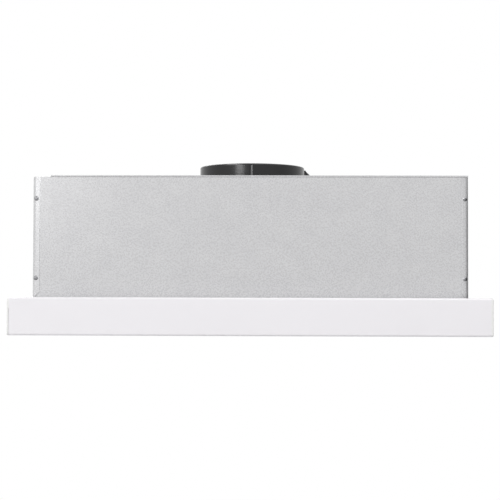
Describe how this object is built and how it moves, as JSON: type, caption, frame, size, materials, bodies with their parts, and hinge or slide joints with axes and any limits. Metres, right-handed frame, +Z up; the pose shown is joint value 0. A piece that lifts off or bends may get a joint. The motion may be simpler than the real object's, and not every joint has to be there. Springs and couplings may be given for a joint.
{
  "type": "under cabinet range hood",
  "caption": "Slide-out under cabinet range hood: sheet metal body, white front bar on a sliding visor, black duct collar with damper flaps, blower, lamps and hinged grease filters.",
  "frame": {"origin": "bottom centre of the closed hood: the middle of its width and depth, on its lower rim", "axes": "+Z up, -Y towards the cook, +X to the right seen from the front"},
  "size_m": [0.759, 0.3018, 0.2817],
  "materials": {
    "silver_coat": "pebbled silver coat, satin",
    "galvanised": "zinc coated sheet steel",
    "white_enamel": "smooth white enamel, satin",
    "black_plastic": "moulded, satin",
    "grey_plastic": "moulded, satin",
    "white_plastic": "moulded, satin",
    "ivory_plastic": "moulded, satin",
    "screw_steel": "zinc plated",
    "dark_screw": "zinc plated, dulled",
    "bright_steel": "ground",
    "rail_steel": "zinc plated rolled strip",
    "aluminium": "mill finish",
    "mesh_aluminium": "expanded sheet",
    "brass": "plain",
    "copper": "lacquered windings and laminations",
    "rotor_iron": "laminated",
    "lamp_glass": "frosted",
    "bulb_glass": "clear"
  },
  "bodies": {
    "root": {"front_panel": "silver_coat", "side_panel_left": "silver_coat", "side_panel_right": "silver_coat", "top_panel": "silver_coat", "back_panel": "galvanised", "bottom_pan": "white_enamel", "body_screws": "dark_screw", "duct_collar": "black_plastic", "collar_screws": "screw_steel", "damper_axle": "bright_steel", "scroll_left": "grey_plastic", "scroll_right": "grey_plastic", "scroll_screws": "screw_steel", "motor_stator": "copper", "motor_can": "rail_steel", "motor_end_cap": "rail_steel", "motor_bushes": "brass", "motor_bracket": "galvanised", "terminal_box": "white_plastic", "terminal_cover": "white_plastic", "capacitor": "ivory_plastic", "cable_gland": "black_plastic", "gland_nut": "black_plastic", "lamp_cup_left": "bright_steel", "lamp_cup_right": "bright_steel", "lamp_lens_left": "lamp_glass", "lamp_lens_right": "lamp_glass", "lamp_bezel_left": "bright_steel", "lamp_bezel_right": "bright_steel", "lamp_bulbs": "bulb_glass", "switch_body": "black_plastic", "switch_plate": "white_plastic", "rail_fixed_left": "rail_steel", "rail_fixed_right": "rail_steel", "rail_rivets": "screw_steel", "visor_switch": "black_plastic"},
    "visor": {"rail_moving_left": "rail_steel", "rail_moving_right": "rail_steel", "visor_pan": "galvanised", "visor_filter_frame": "aluminium", "visor_filter_mesh": "mesh_aluminium", "front_bar": "white_enamel", "bar_cap_left": "white_plastic", "bar_cap_right": "white_plastic", "bar_screws": "screw_steel"},
    "rotor": {"blower_wheel": "aluminium", "wheel_hub": "brass", "motor_shaft": "bright_steel", "motor_rotor": "rotor_iron"},
    "ball_cage_left": {"ball_cage_left": "brass"},
    "ball_cage_right": {"ball_cage_right": "brass"},
    "damper_flap_left": {"damper_flap_left": "grey_plastic"},
    "damper_flap_right": {"damper_flap_right": "grey_plastic"},
    "speed_slider": {"speed_slider": "white_plastic"},
    "light_slider": {"light_slider": "white_plastic"},
    "filter_left": {"filter_frame_left": "aluminium", "filter_mesh_left": "mesh_aluminium"},
    "filter_right": {"filter_frame_right": "aluminium", "filter_mesh_right": "mesh_aluminium"},
    "visor_switch_lever": {"visor_switch_lever": "bright_steel"}
  },
  "joints": [
    {"name": "visor_slide", "type": "slide", "parent": "root", "child": "visor", "axis": [0, -1, 0], "range_m": [0, 0.17]},
    {"name": "ball_cage_left_roll", "type": "slide", "parent": "root", "child": "ball_cage_left", "axis": [0, -1, 0], "range_m": [0, 0.085]},
    {"name": "ball_cage_right_roll", "type": "slide", "parent": "root", "child": "ball_cage_right", "axis": [0, -1, 0], "range_m": [0, 0.085]},
    {"name": "blower_spin", "type": "hinge", "parent": "root", "child": "rotor", "pos_m": [0, 0.0453, 0.148], "axis": [1, 0, 0], "continuous": true},
    {"name": "damper_left_hinge", "type": "hinge", "parent": "root", "child": "damper_flap_left", "pos_m": [0, 0.0101, 0.263], "axis": [0, 1, 0], "range_deg": [0, 80]},
    {"name": "damper_right_hinge", "type": "hinge", "parent": "root", "child": "damper_flap_right", "pos_m": [0, 0.0101, 0.263], "axis": [0, -1, 0], "range_deg": [0, 80]},
    {"name": "speed_slide", "type": "slide", "parent": "root", "child": "speed_slider", "axis": [1, 0, 0], "range_m": [0, 0.021]},
    {"name": "light_slide", "type": "slide", "parent": "root", "child": "light_slider", "axis": [1, 0, 0], "range_m": [0, 0.007]},
    {"name": "filter_left_hinge", "type": "hinge", "parent": "root", "child": "filter_left", "pos_m": [-0.162, 0.1163, 0.0061], "axis": [1, 0, 0], "range_deg": [0, 45]},
    {"name": "filter_right_hinge", "type": "hinge", "parent": "root", "child": "filter_right", "pos_m": [0.162, 0.1163, 0.0061], "axis": [1, 0, 0], "range_deg": [0, 45]},
    {"name": "visor_switch_lever_hinge", "type": "hinge", "parent": "root", "child": "visor_switch_lever", "pos_m": [-0.19, 0.1031, 0.05], "axis": [0, 0, 1], "range_deg": [0, 5], "stiffness_Nm_per_rad": 0.02}
  ],
  "couplings": [
    {"joint": "ball_cage_left_roll", "follows": "visor_slide", "ratio": 0.5},
    {"joint": "ball_cage_right_roll", "follows": "visor_slide", "ratio": 0.5}
  ]
}
